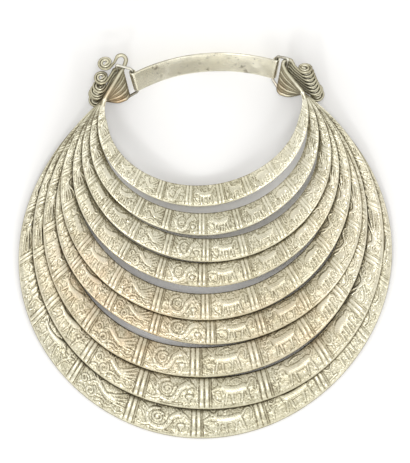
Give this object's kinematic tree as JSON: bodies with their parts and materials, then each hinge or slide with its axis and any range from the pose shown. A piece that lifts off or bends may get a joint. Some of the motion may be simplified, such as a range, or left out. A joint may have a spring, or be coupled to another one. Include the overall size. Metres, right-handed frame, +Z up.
{
  "type": "bib necklace",
  "caption": "Bib necklace of nested embossed metal crescent hoops hooked to two wire shackles and a rigid collar band.",
  "frame": {"origin": "on the surface that the necklace lies on, under the middle of its outline", "axes": "+X to the right of the face shown, +Y from the front edge to the collar band, +Z up from the surface"},
  "size_m": [0.3358, 0.3474, 0.0399],
  "materials": {
    "embossed_silver": "embossed, toned dark in the recesses",
    "wire_silver": "drawn wire, tarnished",
    "band_silver": "plain polished sheet with dark spots"
  },
  "bodies": {
    "root": {"hoop_1": "embossed_silver", "hoop_2": "embossed_silver", "hoop_3": "embossed_silver", "hoop_4": "embossed_silver", "hoop_5": "embossed_silver", "hoop_6": "embossed_silver", "hoop_7": "embossed_silver", "hoop_8": "embossed_silver", "hoop_9": "embossed_silver", "shackle_left": "wire_silver", "shackle_right": "wire_silver", "collar_band": "band_silver"}
  },
  "joints": []
}
